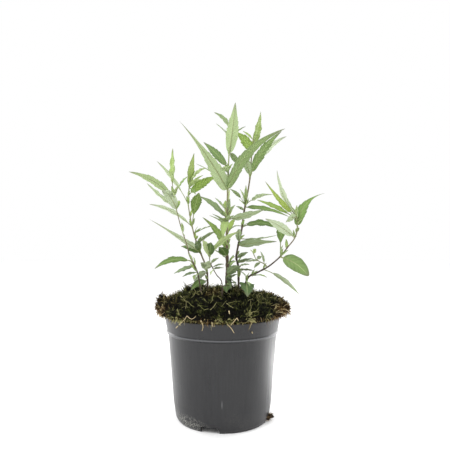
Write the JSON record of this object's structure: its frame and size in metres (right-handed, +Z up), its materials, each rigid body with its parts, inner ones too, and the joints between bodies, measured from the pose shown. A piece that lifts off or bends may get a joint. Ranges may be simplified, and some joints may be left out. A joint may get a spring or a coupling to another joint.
{
  "type": "potted bluebeard plant",
  "caption": "Young bluebeard shrub with toothed lanceolate leaves on upright stems, in a black round nursery pot topped with moss.",
  "frame": {"origin": "centre of the pot's underside, where the pot's axis meets the ground", "axes": "+Z up along the pot's axis; -Y towards the front of the plant as the picture shows it; +X to the right of that view"},
  "size_m": [0.1894, 0.1594, 0.3315],
  "materials": {
    "pot_plastic": "moulded black polypropylene, satin",
    "potting_soil": "moist peat soil with roots",
    "moss": "matted living moss and litter",
    "stem_centre": "woody stem with soft green leaves",
    "stem_right": "woody stem with soft green leaves",
    "stem_left": "woody stem with soft green leaves",
    "stem_far_left": "woody stem with soft green leaves",
    "stem_low_right": "woody stem with soft green leaves",
    "shoot_front": "soft green shoot and leaves",
    "shoot_back": "soft green shoot and leaves"
  },
  "bodies": {
    "root": {"pot": "pot_plastic", "potting_soil": "potting_soil", "moss_mat": "moss", "stem_centre": "stem_centre", "stem_right": "stem_right", "stem_left": "stem_left", "stem_far_left": "stem_far_left", "stem_low_right": "stem_low_right", "shoot_front": "shoot_front", "shoot_back": "shoot_back"}
  },
  "joints": []
}
